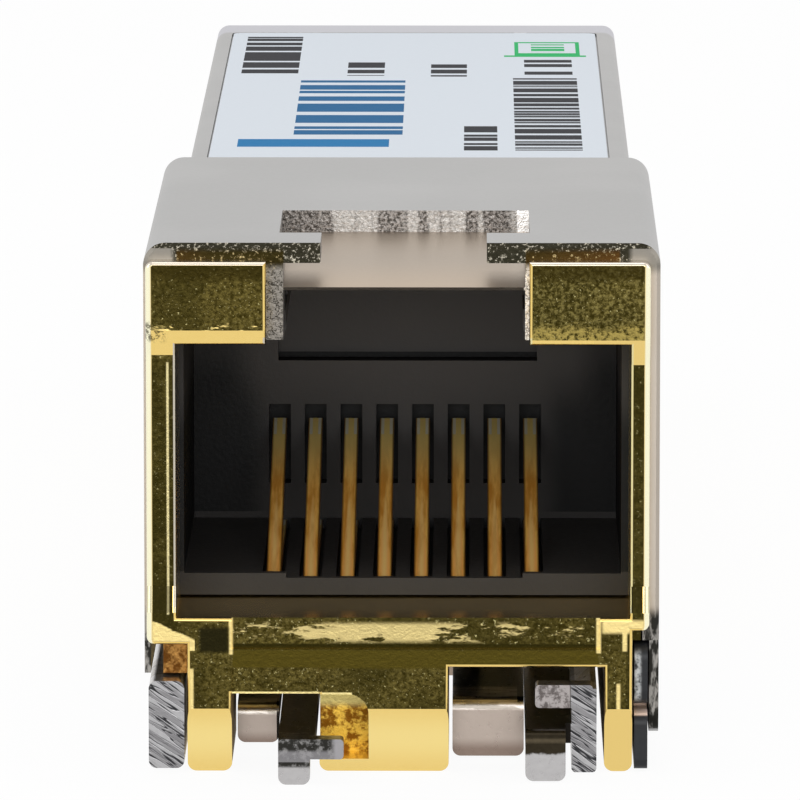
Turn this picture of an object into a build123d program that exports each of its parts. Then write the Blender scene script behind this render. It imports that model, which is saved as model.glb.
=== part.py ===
from build123d import *
import math
import os

# Copper transceiver for an SFP cage, with an RJ45 port in its front.
# Millimetres. X runs across, Y runs from the port in front to the card edge at the rear, Z is up.
# Lengths along Y are counted from the front face of the gold frame, heights from the feet.
# The last step moves everything so that the origin is the middle of the footprint.

# Overall sizes: the body that enters the cage, and the wider and higher head in front of it
body_width = 13.4
body_height = 8.5
body_bottom = 4.1
body_length = 47.5
head_step_side = 0.3
head_step_top = 1.9
head_front = 0.6
head_rear = 18.0
hook_reach = 1.5

body_half = body_width / 2
body_top = body_bottom + body_height
body_rear = head_rear + body_length
head_half = body_half + head_step_side
head_top = body_top + head_step_top
y_shift = -(body_rear - hook_reach) / 2

# Clearances between pieces that don't touch
fit_gap = 0.05
slide_gap = 0.08
pin_gap = 0.03

# Walls of the two shells
roof = 0.54
head_wall = 0.45
cover_wall = 0.9
cover_roof = 0.7
base_floor = 0.7
base_wall_head = 0.25
rear_wall_head = 0.6
hollow_half = body_half - cover_wall
ceiling = head_top - roof
wall_half = head_half - head_wall - fit_gap

# Gold front: frame round the port, between two corner blocks and the sill
frame_edge_left = 0.07
frame_edge_right = 0.27
jamb_left = 0.82
jamb_right = 0.54
block_width_left = 2.44
block_width_right = 2.74
block_drop = 0.44
opening_drop = 2.7
opening_rise = 0.2
flange = head_front
frame_depth = 3.3
edge_round = 0.1
outer_round = 0.2
frame_left = -head_half + frame_edge_left
frame_right = head_half - frame_edge_right
opening_left = frame_left + jamb_left
opening_right = frame_right - jamb_right
block_left_inner = opening_left + block_width_left
block_right_inner = opening_right - block_width_right
block_top = head_top - block_drop
opening_top = head_top - opening_drop
opening_bottom = body_bottom + opening_rise

# Jambs: set back from the blocks, with a slope above and below
jamb_recess = 0.2
slope_height = 0.7
slope_over_left = 0.4
slope_over_right = 0.14
slope_foot = 0.15

# Head floor over the channel for the release slide
channel_drop = 0.5
channel_top = body_bottom - channel_drop
frame_foot_left = 0.03
frame_foot_right = 0.35
frame_bottom_left = channel_top - frame_foot_left
frame_bottom_right = channel_top + frame_foot_right
sill_drop_left = 1.4
sill_drop_right = 0.65
sill_left_bottom = channel_top - sill_drop_left
sill_right_bottom = channel_top - sill_drop_right
sill_depth = 1.0
sill_relief = 0.12
sill_relief_end = 0.8
sill_band_top_drop = 0.15
sill_band_height = 0.5
sill_band_top = channel_top - sill_band_top_drop
sill_band_bottom = sill_band_top - sill_band_height

# Legs under the frame
leg_left_inset = 1.1
leg_left_width = 1.21
leg_right_inset = 0.46
leg_right_width = 0.76
leg_depth = 5.0
leg_round = 0.25
face_drop = 1.8
face_lean = 0.45
leg_left_outer = frame_left + leg_left_inset
leg_left_inner = leg_left_outer + leg_left_width
leg_right_outer = frame_right - leg_right_inset
leg_right_inner = leg_right_outer - leg_right_width
face_break = channel_top - face_drop
sill_relief_left = leg_left_inner
sill_relief_right = opening_right - sill_relief_end

# Release slide: steel arms along both legs, a web behind them, plates and hooks between
slide_travel = 2.0
sheet = 0.55
arm_left_edge = 0.12
arm_left_rise = 0.15
arm_left_drop = 1.04
arm_right_gap = 0.21
arm_right_width = 0.68
arm_right_rise = 0.05
arm_right_drop = 1.24
arm_right_slope = 0.53
arm_right_flat = 0.15
arm_front = 0.02
arm_round = 0.22
arm_left_outer = -head_half + arm_left_edge
arm_left_inner = leg_left_outer - slide_gap
arm_left_bottom = arm_left_rise
arm_left_top = channel_top - arm_left_drop
arm_right_outer = leg_right_inner - arm_right_gap
arm_right_inner = arm_right_outer - arm_right_width
arm_right_bottom = arm_right_rise
arm_right_top = channel_top - arm_right_drop
arm_right_slant = arm_right_top - arm_right_slope
tab_reach = 0.99
tab_rise = 0.10
tab_height = 0.63
tab_depth = 0.7
tab_inner = arm_right_inner - tab_reach
tab_top = arm_right_top + tab_rise
tab_bottom = tab_top - tab_height
web_setback = 3.6
web_length = 4.8
web_bottom = 0.9
web_thickness = 0.6
web_rear = head_rear - web_setback
web_front = web_rear - web_length
web_top = web_bottom + web_thickness
plate_gap = 0.10
plate_left_width = 1.14
plate_left_y = 2.5
plate_left_bottom = 0.38
plate_left_lower = 0.02
plate_left_inner = leg_left_inner + plate_gap
plate_left_outer = plate_left_inner + plate_left_width
plate_left_top = web_top - plate_left_lower
hook_left_gap = 0.05
hook_left_width = 0.86
hook_left_finger = 0.91
hook_left_lower = 0.25
hook_left_height = 0.55
hook_left_outer = plate_left_outer + hook_left_gap
hook_left_stem = hook_left_outer + hook_left_width
hook_left_tip = hook_left_stem + hook_left_finger
hook_left_top = web_top - hook_left_lower
hook_left_step = hook_left_top - hook_left_height
hook_right_gap = 0.17
hook_right_width = 1.09
hook_right_y = 1.2
hook_right_bottom = 0.05
hook_right_lower = 0.09
hook_right_outer = arm_right_inner - hook_right_gap
hook_right_inner = hook_right_outer - hook_right_width
hook_right_top = web_top - hook_right_lower
plate_right_gap = 0.03
plate_right_width = 1.95
plate_right_y = 1.5
plate_right_bottom = 0.21
plate_right_higher = 0.31
plate_right_outer = hook_right_inner - plate_right_gap
plate_right_inner = plate_right_outer - plate_right_width
plate_right_top = web_top + plate_right_higher
shoulder_setback = 0.6
wedge_setback = 1.6
wedge_length = 1.2
wedge_half = 0.9
wedge_slope = 0.5
wedge_gap = 0.07
wedge_sink = 0.1
bend_share = 0.6
wedge_front = web_front + wedge_setback
wedge_rear = wedge_front + wedge_length

# Middle block between the left hook and the right plate, with an arch-shaped pocket
middle_gap_left = 0.23
middle_gap_right = 0.10
middle_left = hook_left_stem + middle_gap_left
middle_right = plate_right_inner - middle_gap_right
pocket_width = 1.34
pocket_bottom = 0.35
pocket_depth = 1.5
pocket_arch = 0.55
pocket_right = middle_left + pocket_width

# Feet and bulkhead at the rear of the head
rear_foot_setback = 1.5
rear_foot_length = 1.5
bulkhead_length = 1.1
bulkhead_bottom = 1.0
side_rib_front = 0.8
rear_foot_rear = head_rear - rear_foot_setback
rear_foot_front = rear_foot_rear - rear_foot_length
bulkhead_front = head_rear - bulkhead_length

# Nickel top shell
head_corner = 0.6
front_bevel = 0.1
window_inset_left = 0.32
window_inset_right = -0.02
window_front = 2.65
window_length = 4.35
notch_inset_left = 1.47
notch_inset_right = 1.15
window_left = block_left_inner + window_inset_left
window_right = block_right_inner - window_inset_right
window_rear = window_front + window_length
notch_left = block_left_inner + notch_inset_left
notch_right = block_right_inner - notch_inset_right
ramp_front_drop = 1.2
ramp_rear_drop = 0.6
ramp_thickness = 0.42
ramp_edge = 0.08
ramp_taper = 1.6
ramp_back_wall = 0.5
lip_thickness = 0.49
lip_depth = 2.6
lip_gap_left = 0.03
lip_gap_right = 0.11
lip_rise = 0.06
lip_left = block_left_inner - lip_gap_left
lip_right = block_right_inner - lip_gap_right
lip_bottom = opening_top + lip_rise
skirt_bottom = 0.9
skirt_thickness = 0.26
skirt_front = 1.0
skirt_setback = 1.0
skirt_round = 0.6
thin_skirt = 0.17
thin_skirt_gap = 0.12
skirt_rear = head_rear - skirt_setback
thin_skirt_bottom = arm_left_top + thin_skirt_gap
cover_corner = 0.4
bottom_chamfer = 1.1

# Label in a shallow seat on the body's top
label_recess = 0.10
label_margin_left = 0.60
label_margin_right = 0.68
label_setback = 11.5
label_length = 33.9
label_corner = 0.3
label_left = -body_half + label_margin_left
label_right = body_half - label_margin_right
label_front = head_rear + label_setback
label_rear = label_front + label_length

# Circuit board and card edge
board_thickness = 1.0
board_rise = 2.25
board_side_gap = 0.2
board_insert_gap = 0.2
board_rear = 62.3
board_ledge = 0.6
edge_neck = 54.0
edge_bevel = 0.3
edge_side_gap = 0.9
rear_ceiling_gap = 2.0
rear_opening_wall = 1.2
rear_opening_front = edge_neck + 1.1
rear_block_front = edge_neck + 4.0
board_bottom = body_bottom + board_rise
board_top = board_bottom + board_thickness
board_half = hollow_half - board_side_gap
board_ledge_inner = board_half - board_ledge
rear_opening_half = body_half - rear_opening_wall
edge_half = rear_opening_half - edge_side_gap
rear_ceiling = board_top + rear_ceiling_gap
seam_rise = 0.65
shell_seam = board_top + seam_rise
pad_pitch = 0.8
pad_width = 0.5
pad_length = 4.2
pad_height = 0.035
pad_setback = 0.5
pad_margin = 0.6
pad_count = int((2 * edge_half - 2 * pad_margin + fit_gap) / pad_pitch)

# Jack: housing, rear insert and contacts
housing_gap = 0.03
housing_wall = 0.22
housing_front = 3.32
housing_setback = 5.0
cavity_gap_top = 0.10
cavity_floor = 0.47
housing_roof = 0.60
tongue_room = 0.75
tongue_cover = 0.35
tongue_gap_left = 0.01
tongue_gap_right = 0.04
tongue_wall = 0.4
front_lip = 0.3
front_lip_height = 0.13
insert_length = 1.0
insert_window_drop = 2.35
insert_window_left_inset = 0.07
insert_window_right_over = 0.30
housing_half = wall_half - base_wall_head - housing_gap
cavity_half = housing_half - housing_wall
housing_rear = head_rear - housing_setback
housing_bottom = opening_bottom + fit_gap
cavity_bottom = housing_bottom + cavity_floor
cavity_top = opening_top - cavity_gap_top
housing_top = cavity_top + housing_roof
tongue_left = lip_left + lip_thickness + tongue_gap_left
tongue_right = lip_right - tongue_gap_right
tongue_top = cavity_top + tongue_room
tongue_roof = tongue_top + tongue_cover
front_lip_top = cavity_bottom + front_lip_height
insert_rear = housing_rear + insert_length
insert_window_bottom = cavity_top - insert_window_drop
insert_window_left = block_left_inner + insert_window_left_inset
insert_window_right = block_right_inner + insert_window_right_over
board_front = insert_rear + board_insert_gap
contact_count = 8
contact_pitch = 1.016
contact_width = 0.40
contact_thickness = 0.25
contact_drop = 0.20
contact_bend = 3.95
contact_rise = 2.93
contact_into_slot = 0.2
slot_gap = 0.11
slot_depth = 0.7
slot_rise = 0.55
tail_first = 0.9
tail_step = 1.6
tail_rise = 0.4
tail_gap = 0.14
slot_width = contact_width + 2 * slot_gap
contact_level = cavity_bottom - contact_drop
contact_tip_y = housing_rear + contact_into_slot
contact_tip_z = contact_level + contact_rise
slot_top = contact_tip_z + slot_rise
tail_near = insert_rear + tail_first
tail_far = tail_near + tail_step

# Rivets under the slide
rivet_inset = 3.6
rivet_setback = 1.3
rivet_shank = 0.5
rivet_head = 0.9
rivet_head_height = 0.35
rivet_slot_gap = 0.06
rivet_lap = 0.1
rivet_bevel = 0.6
rivet_x = (-head_half + rivet_inset, head_half - rivet_inset)
rivet_y = web_front + rivet_setback

# Latch lever, its pin and its spring
pivot_forward = 2.8
pivot_drop = 1.0
pin_radius = 0.45
eye_radius = 0.85
lever_half = 1.3
lever_thickness = 0.6
lever_bend_setback = 1.6
lever_bend_shift = 0.1
tail_lift = 0.1
boss_setback = 2.5
boss_depth = 0.45
boss_flat = 1.1
boss_length = 2.6
tail_beyond = 0.3
cam_forward = 1.0
cam_length = 1.2
cam_drop = 0.1
cam_slope = 1.4
lug_gap = 0.1
lug_width = 0.75
lug_length = 1.1
lug_below = 0.65
groove_length = 0.8
groove_height = 1.4
groove_gap = 0.15
island_side = 0.8
island_roof = 0.6
pivot_y = web_front - pivot_forward
pivot_z = channel_top - pivot_drop
wedge_top = pivot_z - wedge_gap
lever_bend = head_rear - lever_bend_setback
tail_bottom = body_bottom + tail_lift
boss_shoulder = head_rear + boss_setback
tail_end = boss_shoulder + boss_length + tail_beyond
cam_front = web_front - cam_forward
cam_rear = cam_front + cam_length
lug_inner = lever_half + lug_gap
lug_outer = lug_inner + lug_width
lug_bottom = pivot_z - lug_below
groove_front = lever_bend - groove_length
groove_rear = tail_end + groove_length
groove_top = body_bottom + groove_height
leaf_half = 0.8
leaf_thickness = 0.1
leaf_drop = 0.19
leaf_reach = 2.5
leaf_short = 1.3
leaf_long = 3.2
leaf_flat = 1.0
leaf_low = pivot_y + leaf_reach
leaf_front = leaf_low - leaf_short
leaf_rear = leaf_low + leaf_long

# Black strip between the right leg and the skirt
strip_gap_inner = 0.06
strip_gap_outer = 0.05
strip_front = 0.3
strip_length = 11.7
strip_drop = 0.1
strip_step = 1.6
strip_split = 0.25
strip_web_setback = 1.3
strip_web_end = 1.0
strip_web_lap = 0.4
strip_round_top = 0.4
strip_round_low = 0.3
strip_inner = leg_right_outer + strip_gap_inner
strip_outer = head_half - skirt_thickness - strip_gap_outer
strip_rear = strip_front + strip_length
strip_top = channel_top - strip_drop

# Grounding collar
collar_sheet = 0.12
collar_gap = 0.1
collar_band = 1.4
collar_rise = 1.3
collar_margin = 0.1
finger_length = 5.8
finger_middle = 2.8
finger_width = 1.35
finger_pitch = 1.75
finger_lap = 0.2
top_bulge = 0.30
top_tip = 0.05
side_bulge = 0.14
side_tip = 0.02
collar_front = head_rear + collar_gap
collar_bottom = body_bottom + collar_rise
top_fingers = int((body_width - 2 * collar_margin) / finger_pitch)
side_fingers = int((body_top - collar_bottom - collar_margin) / finger_pitch)

# Screws from below, into posts of the cover
front_post = 8.6
post_y = (head_rear + front_post, 52.0)
post_radius = 1.15
post_hole_gap = 0.25
screw_head_radius = 1.0
screw_head_height = 0.5
screw_shank = 0.6
screw_length = 3.7
screw_well = 0.5
screw_drive = 0.45
screw_drive_depth = 0.3

# Components on the board
magnetics_side_gap = 1.1
magnetics_top_gap = 0.95
magnetics_length = 6.0
magnetics_bevel = 0.2
magnetics_first = 3.4
magnetics_step = 10.2
chip_size = 7.0
chip_height = 0.85
chip_y = 42.5
pedestal_margin = 0.3
pad_stack = 0.55
memory_y = 49.0
memory_size = (2.9, 2.0, 0.75)
memory_edge = 0.55
crystal_y = 49.0
crystal_size = (3.2, 2.5, 0.7)
crystal_edge = 0.5
inductor_y = 37.0
inductor_size = (2.5, 2.5, 1.2)
inductor_edge = 0.45
capacitor_size = (1.0, 0.5, 0.5)
capacitor_edge = 0.1
capacitor_columns = 5
capacitor_pitch = 1.2
capacitor_rows_y = (36.4, 37.8)
magnetics_half = hollow_half - magnetics_side_gap
magnetics_height = body_top - cover_roof - magnetics_top_gap - board_top
magnetics_y = (head_rear + magnetics_first, head_rear + magnetics_first + magnetics_step)
pedestal_size = chip_size - 2 * pedestal_margin
memory_x = -board_half + memory_edge + memory_size[0] / 2
crystal_x = board_half - crystal_edge - crystal_size[0] / 2
inductor_x = -board_half + inductor_edge + inductor_size[0] / 2
capacitor_last = board_half - capacitor_edge - capacitor_size[0] / 2


def block(x0, x1, y0, y1, z0, z1):
    centre = ((x0 + x1) / 2, (y0 + y1) / 2, (z0 + z1) / 2)
    return Pos(*centre) * Box(x1 - x0, y1 - y0, z1 - z0)


def from_front(points, y0, y1):
    # A section drawn in X and Z, run from y0 back to y1
    section = make_face(Polyline([(x, 0, z) for x, z in points], close=True))
    return Pos(0, y0, 0) * extrude(section, amount=y1 - y0, dir=(0, 1, 0))


def from_side(points, x0, x1):
    # A section drawn in Y and Z, run from x0 to x1
    section = make_face(Polyline([(0, y, z) for y, z in points], close=True))
    return Pos(x0, 0, 0) * extrude(section, amount=x1 - x0, dir=(1, 0, 0))


def from_top(points, z0, z1):
    # A section drawn in X and Y, run from z0 up to z1
    section = make_face(Polyline([(x, y, 0) for x, y in points], close=True))
    return Pos(0, 0, z0) * extrude(section, amount=z1 - z0, dir=(0, 0, 1))


def rod_x(radius, x0, x1, y, z):
    return Pos((x0 + x1) / 2, y, z) * Rot(0, 90, 0) * Cylinder(radius, x1 - x0)


def rod_z(radius, x, y, z0, z1):
    return Pos(x, y, (z0 + z1) / 2) * Cylinder(radius, z1 - z0)


def strip_path(points, thickness):
    # Offsets an open path in Y and Z to both sides, for a bent strip of even thickness
    half = thickness / 2
    upper = []
    lower = []
    for i, (y, z) in enumerate(points):
        before = points[max(i - 1, 0)]
        after = points[min(i + 1, len(points) - 1)]
        angle_in = math.atan2(z - before[1], y - before[0]) if i > 0 else None
        angle_out = math.atan2(after[1] - z, after[0] - y) if i < len(points) - 1 else None
        first = angle_out if angle_in is None else angle_in
        last = angle_in if angle_out is None else angle_out
        middle = (first + last) / 2
        reach = half / math.cos((last - first) / 2)
        upper.append((y - reach * math.sin(middle), z + reach * math.cos(middle)))
        lower.append((y + reach * math.sin(middle), z - reach * math.cos(middle)))
    return upper + lower[::-1]


def top_shell():
    inner = head_half - head_wall
    # Head: an upturned channel with rounded upper corners
    head = block(-head_half, head_half, head_front, head_rear, channel_top, head_top)
    upper = head.edges().filter_by(Axis.Y).group_by(Axis.Z)[-1]
    head = fillet(upper, head_corner)
    front_top = head.faces().sort_by(Axis.Y)[0].edges().sort_by(Axis.Z)[-1:]
    head = chamfer(front_top, front_bevel)
    head -= block(-inner, inner, 0, head_rear - rear_wall_head, 0, ceiling)
    # Skirts below the channel: one over the black strip, a thin short one over the left arm
    skirt_x = head_half - skirt_thickness
    skirt = block(skirt_x, head_half, skirt_front, skirt_rear, skirt_bottom, ceiling)
    low = skirt.edges().filter_by(Axis.X).group_by(Axis.Z)[0]
    head += fillet(low, skirt_round)
    thin_x = -head_half + thin_skirt
    head += block(-head_half, thin_x, head_front, skirt_rear, thin_skirt_bottom, ceiling)
    # Finger opening: T-shaped hole over a sunken ramp with a wall at its back
    head -= block(window_left, window_right, window_front, window_rear, ceiling - 1, head_top + 1)
    head -= block(notch_left, notch_right, 0, window_front + 1, ceiling - 1, head_top + 1)
    ramp_rear = window_rear + ramp_back_wall
    front_z = head_top - ramp_front_drop
    rear_z = head_top - ramp_rear_drop
    ramp_slope = (rear_z - front_z) / (window_rear - head_front)
    ramp = [
        (head_front, front_z),
        (window_rear, rear_z),
        (window_rear, ceiling + roof / 2),
        (ramp_rear, ceiling + roof / 2),
        (ramp_rear, rear_z - ramp_thickness),
        (head_front + ramp_taper, front_z + ramp_slope * ramp_taper - ramp_thickness),
        (head_front, front_z - ramp_edge),
    ]
    head += from_side(ramp, lip_left, lip_right + lip_thickness)
    # Lips that hang beside the tongue channel
    for x in (lip_left, lip_right):
        head += block(x, x + lip_thickness, head_front, head_front + lip_depth, lip_bottom, ceiling)
    # Body cover with rounded upper corners
    cover = block(-body_half, body_half, head_rear - rear_wall_head, body_rear, shell_seam, body_top)
    upper = cover.edges().filter_by(Axis.Y).group_by(Axis.Z)[-1]
    cover = fillet(upper, cover_corner)
    shell = head + cover
    shell -= block(-hollow_half, hollow_half, head_rear - 2 * rear_wall_head, rear_block_front,
                   0, body_top - cover_roof)
    shell -= block(-rear_opening_half, rear_opening_half, rear_block_front - 1, body_rear + 1,
                   shell_seam - 1, rear_ceiling)
    shell -= block(-head_half - 1, head_half + 1, head_rear, body_rear + 1, 0, shell_seam)
    shell -= block(-body_half - fit_gap, body_half + fit_gap, head_rear - 2 * rear_wall_head,
                   head_rear + 1, 0, shell_seam)
    # Posts for the screws, and the pedestal over the large chip
    for y in post_y:
        post = rod_z(post_radius, 0, y, body_bottom + base_floor, body_top - cover_roof / 2)
        post -= rod_z(screw_shank, 0, y, 0, body_bottom + screw_head_height + screw_length + screw_well)
        shell += post
    pedestal_z = board_top + chip_height + pad_stack
    half = pedestal_size / 2
    shell += block(-half, half, chip_y - half, chip_y + half, pedestal_z, body_top - cover_roof / 2)
    # Shallow seat of the label
    seat = block(label_left - fit_gap, label_right + fit_gap, label_front - fit_gap,
                 label_rear + fit_gap, body_top - label_recess, body_top + 1)
    corners = seat.edges().filter_by(Axis.Z)
    shell -= fillet(corners, label_corner)
    return shell


def base_shell():
    # Front frame with corner blocks, sill, legs and middle block, drawn from the front
    outline = [
        (frame_left, block_top),
        (block_left_inner, block_top),
        (block_left_inner, opening_top),
        (opening_left, opening_top),
        (opening_left, opening_bottom),
        (opening_right, opening_bottom),
        (opening_right, opening_top),
        (block_right_inner, opening_top),
        (block_right_inner, block_top),
        (frame_right, block_top),
        (frame_right, frame_bottom_right),
        (leg_right_outer, frame_bottom_right),
        (leg_right_outer, 0),
        (leg_right_inner, 0),
        (leg_right_inner, sill_right_bottom),
        (middle_right, sill_right_bottom),
        (middle_right, 0),
        (middle_left, 0),
        (middle_left, sill_left_bottom),
        (leg_left_inner, sill_left_bottom),
        (leg_left_inner, 0),
        (leg_left_outer, 0),
        (leg_left_outer, frame_bottom_left),
        (frame_left, frame_bottom_left),
    ]
    base = from_front(outline, 0, flange)
    upright = base.edges().filter_by(Axis.Y)
    feet = [e for e in upright if e.center().Z < edge_round]
    base = fillet(feet, leg_round)
    base -= jamb_cut(slope_over_left, frame_left - 1, block_left_inner + 1)
    base -= jamb_cut(slope_over_right, block_right_inner - 1, frame_right + 1)
    base = rounded_front(base)
    # Depth of the frame behind its flange
    wall = wall_half
    roof_z = ceiling - fit_gap
    base += block(-wall, opening_left, flange, frame_depth, channel_top, roof_z)
    base += block(opening_right, wall, flange, frame_depth, channel_top, roof_z)
    base += block(-wall, lip_left - fit_gap, flange, frame_depth, opening_top, roof_z)
    base += block(lip_right + lip_thickness + fit_gap, wall, flange, frame_depth, opening_top, roof_z)
    # Head floor and side walls
    base += block(-wall, wall, flange, head_rear, channel_top, channel_top + base_floor)
    for side in (-1, 1):
        outer = side * wall
        inner = side * (wall - base_wall_head)
        base += block(min(outer, inner), max(outer, inner), frame_depth, head_rear - rear_wall_head
                      - fit_gap, channel_top, housing_top)
    # Sill, legs and middle block behind the flange
    base += block(leg_left_inner, middle_left, flange, sill_depth, sill_left_bottom, channel_top)
    base += block(middle_right, leg_right_inner, flange, sill_depth, sill_right_bottom, channel_top)
    base += foot(leg_left_outer, leg_left_inner, flange, leg_depth)
    base += foot(middle_left, middle_right, flange, leg_depth)
    base += foot(leg_right_inner, leg_right_outer, flange, rear_foot_rear)
    base += foot(-wall, leg_left_inner, rear_foot_front, rear_foot_rear)
    # Rib over the slide's left arm, and the bulkhead at the head's rear
    base += block(-wall, leg_left_inner, side_rib_front, bulkhead_front,
                  arm_left_top + slide_gap, channel_top)
    base += block(-wall, wall, bulkhead_front, head_rear, bulkhead_bottom, channel_top)
    # Body: floor, walls, ledges of the board
    body = block(-body_half, body_half, head_rear, body_rear, body_bottom, shell_seam)
    low = body.edges().filter_by(Axis.Y).group_by(Axis.Z)[0]
    body = chamfer(low, bottom_chamfer)
    hollow = hollow_half
    body -= block(-hollow, hollow, head_rear - 1, rear_opening_front,
                  body_bottom + base_floor, shell_seam + 1)
    body -= block(-rear_opening_half, rear_opening_half, rear_opening_front - 1, body_rear + 1,
                  0, shell_seam + 1)
    for side in (-1, 1):
        x0 = min(side * board_ledge_inner, side * (hollow + cover_wall / 4))
        x1 = max(side * board_ledge_inner, side * (hollow + cover_wall / 4))
        body += block(x0, x1, head_rear, edge_neck, body_bottom + base_floor / 2, board_bottom)
    base += body
    # Solid step between the head's floor and the body's floor
    base += block(-hollow, hollow, head_rear - base_floor, head_rear + base_floor,
                  channel_top, body_bottom + base_floor)
    # Island and groove for the tail of the latch lever
    half = lever_half + groove_gap
    base += block(-half - island_side, half + island_side, head_rear, groove_rear + island_side,
                  body_bottom, groove_top + island_roof)
    base -= block(-half, half, groove_front, groove_rear, bulkhead_bottom - 1, groove_top)
    # Shallow reliefs in the sill, above and below its smooth band
    base -= block(sill_relief_left, sill_relief_right, -1, sill_relief,
                  sill_band_top, opening_bottom + 1)
    base -= block(leg_left_inner, middle_left, -1, sill_relief, 0, sill_band_bottom)
    # Pocket in the middle block, with a rounded upper corner
    pocket = block(middle_left - 1, pocket_right, -1, pocket_depth, pocket_bottom, sill_left_bottom)
    corner = pocket.edges().filter_by(Axis.Y).sort_by(Axis.Z)[-2:].sort_by(Axis.X)[-1:]
    base -= fillet(corner, pocket_arch)
    # The lower faces of legs and block lean back
    lean = [(-1, face_break), (0, face_break), (face_lean, -0.1), (-1, -0.1)]
    base -= from_side(lean, frame_left - 1, frame_right + 1)
    # Lugs for the latch pin
    for side in (-1, 1):
        x0 = min(side * lug_inner, side * lug_outer)
        x1 = max(side * lug_inner, side * lug_outer)
        base += block(x0, x1, pivot_y - lug_length, pivot_y + lug_length, lug_bottom, channel_top)
    base -= rod_x(pin_radius, -lug_outer - 1, lug_outer + 1, pivot_y, pivot_z)
    # Holes for rivets and screws
    for x in rivet_x:
        base -= rod_z(rivet_shank, x, rivet_y, channel_top - 1, channel_top + base_floor + 1)
    for y in post_y:
        base -= rod_z(screw_shank + fit_gap, 0, y, body_bottom - 1, body_bottom + base_floor + 1)
        base -= screw_cone(y, fit_gap)
    return base


def jamb_cut(over, x0, x1):
    # Slopes from the face of the blocks back to the jamb, and forward again at the sill
    top = opening_top + over
    low = opening_bottom + slope_foot
    profile = [
        (-1, top),
        (0, top),
        (jamb_recess, top - slope_height),
        (jamb_recess, low + slope_height),
        (0, low),
        (-1, low),
    ]
    return from_side(profile, x0, x1)


def front_edges(solid):
    # Edges round the front faces, apart from those where a slope starts or ends
    slope_ends = [opening_bottom + slope_foot, opening_bottom + slope_foot + slope_height]
    for over in (slope_over_left, slope_over_right):
        slope_ends += [opening_top + over, opening_top + over - slope_height]
    found = []
    for edge in solid.edges():
        start = edge.start_point()
        end = edge.end_point()
        deep = max(start.Y, end.Y) > jamb_recess + fit_gap
        level = abs(start.Z - end.Z) < fit_gap / 10
        at_slope = level and min(abs(start.Z - z) for z in slope_ends) < fit_gap / 10
        if not deep and not at_slope:
            found.append(edge)
    return found


def is_outer(edge):
    sides = (frame_left, frame_right, leg_left_outer, leg_right_outer)
    return min(abs(edge.center().X - x) for x in sides) < fit_gap / 10


def rounded_front(base):
    # A narrow rounding round the front, then a wider one along its outer sides
    narrow = [e for e in front_edges(base) if not is_outer(e)]
    base = fillet(narrow, edge_round)
    wide = [e for e in front_edges(base) if is_outer(e)]
    return fillet(wide, outer_round)


def foot(x0, x1, y0, y1):
    leg = block(x0, x1, y0, y1, 0, channel_top)
    low = leg.edges().filter_by(Axis.Y).group_by(Axis.Z)[0]
    return fillet(low, leg_round)


def screw_cone(y, gap):
    lower = screw_head_radius + gap
    upper = screw_shank + gap
    middle = body_bottom + screw_head_height / 2
    return Pos(0, y, middle) * Cone(lower, upper, screw_head_height)


def cover_screws():
    screws = []
    for y in post_y:
        screw = screw_cone(y, 0)
        top = body_bottom + screw_head_height + screw_length
        screw += rod_z(screw_shank, 0, y, body_bottom + screw_head_height, top)
        drive = RegularPolygon(screw_drive, 6)
        screw -= Pos(0, y, body_bottom) * extrude(drive, amount=screw_drive_depth)
        screws.append(screw)
    return Compound(children=screws)


def jack_housing():
    shroud = block(-housing_half, housing_half, housing_front, housing_rear,
                   housing_bottom, housing_top)
    shroud += block(tongue_left - tongue_wall, tongue_right + tongue_wall, housing_front + lip_depth, housing_rear,
                    cavity_top, tongue_roof)
    shroud -= block(-cavity_half, cavity_half, housing_front + front_lip, housing_rear + 1,
                    cavity_bottom, cavity_top)
    shroud -= block(-cavity_half, cavity_half, housing_front - 1, housing_rear + 1,
                    front_lip_top, cavity_top)
    shroud -= block(tongue_left, tongue_right, housing_front - 1, housing_rear + 1,
                    cavity_bottom, tongue_top)
    # Room for the lips of the top shell
    shroud -= block(lip_left - fit_gap, lip_right + lip_thickness + fit_gap, housing_front - 1,
                    head_front + lip_depth + fit_gap, lip_bottom - fit_gap, tongue_roof + 1)
    # Grooves in the floor that hold the contacts
    for x in contact_places():
        half = slot_width / 2
        shroud -= block(x - half, x + half, housing_front + front_lip, housing_rear + 1,
                        contact_level - contact_thickness / 2, cavity_bottom + 1)
    return shroud


def contact_places():
    first = -contact_pitch * (contact_count - 1) / 2
    return [first + contact_pitch * i for i in range(contact_count)]


def rear_insert():
    insert = block(-housing_half, housing_half, housing_rear, insert_rear,
                   housing_bottom, housing_top)
    insert -= block(insert_window_left, insert_window_right, housing_rear - 1,
                    housing_rear + slot_depth, insert_window_bottom, housing_top + 1)
    for x in contact_places():
        half = slot_width / 2
        insert -= block(x - half, x + half, housing_rear - 1, housing_rear + slot_depth,
                        cavity_bottom + 1, slot_top)
        insert -= block(x - half, x + half, housing_rear - 1, insert_rear + 1,
                        contact_level - contact_thickness / 2, cavity_bottom)
    return insert


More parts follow.
